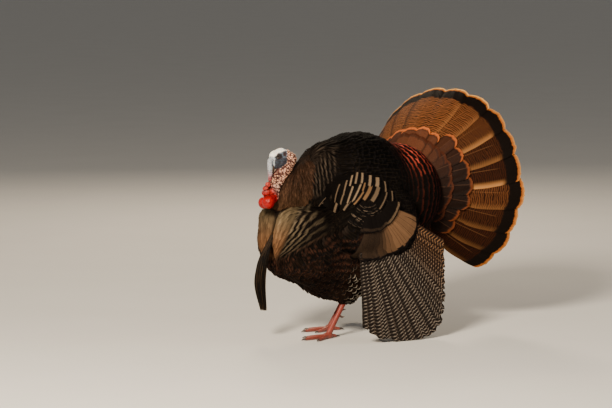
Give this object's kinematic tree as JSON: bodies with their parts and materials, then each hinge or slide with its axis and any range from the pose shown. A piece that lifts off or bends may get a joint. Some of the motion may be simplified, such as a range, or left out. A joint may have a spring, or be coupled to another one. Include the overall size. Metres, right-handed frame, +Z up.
{
  "type": "wild turkey",
  "caption": "Life-size wild turkey gobbler in full strut: tail fanned, wings drooped to the floor, head drawn back over a puffed breast. A still display model.",
  "frame": {"origin": "on the floor, under the middle of the whole bird's box", "axes": "the bird faces -X and its tail is at +X; its left side is -Y; +Z is up"},
  "size_m": [0.895, 0.6318, 0.7776],
  "materials": {
    "plumage": "iridescent black-brown contour feathers, bronze and copper where they catch the light",
    "wing": "flight feathers barred black and white, duller brown towards the body",
    "fan": "chestnut tail feathers with fine black bars, a black band and an orange-brown tip",
    "skin": "bare, warty skin: white crown, blue-grey cheeks, pink neck",
    "wattle": "swollen, moist, bright red bare skin",
    "bill": "horn, satin",
    "eye": "wet, dark brown, glossy",
    "beard": "coarse black bristles",
    "leg": "pinkish red horny scales",
    "claw": "dark horn, satin"
  },
  "bodies": {
    "root": {"trunk": "plumage", "neck_ruff": "plumage", "rump": "plumage", "thigh_left": "plumage", "thigh_right": "plumage", "wing_left_shoulder": "plumage", "wing_right_shoulder": "plumage", "wing_left_secondaries": "wing", "wing_left_primaries": "wing", "wing_right_secondaries": "wing", "wing_right_primaries": "wing", "tail_fan_left": "fan", "tail_fan_centre": "fan", "tail_fan_right": "fan", "tail_coverts_left": "fan", "tail_coverts_right": "fan", "head": "skin", "neck_bare": "skin", "wattle": "wattle", "snood": "wattle", "bill_upper": "bill", "bill_lower": "bill", "eye_left": "eye", "eye_right": "eye", "beard": "beard", "shank_left": "leg", "shank_right": "leg", "foot_left": "leg", "foot_right": "leg", "spur_left": "claw", "spur_right": "claw", "claw_left_inner": "claw", "claw_left_middle": "claw", "claw_left_outer": "claw", "claw_left_hind": "claw", "claw_right_inner": "claw", "claw_right_middle": "claw", "claw_right_outer": "claw", "claw_right_hind": "claw"}
  },
  "joints": []
}
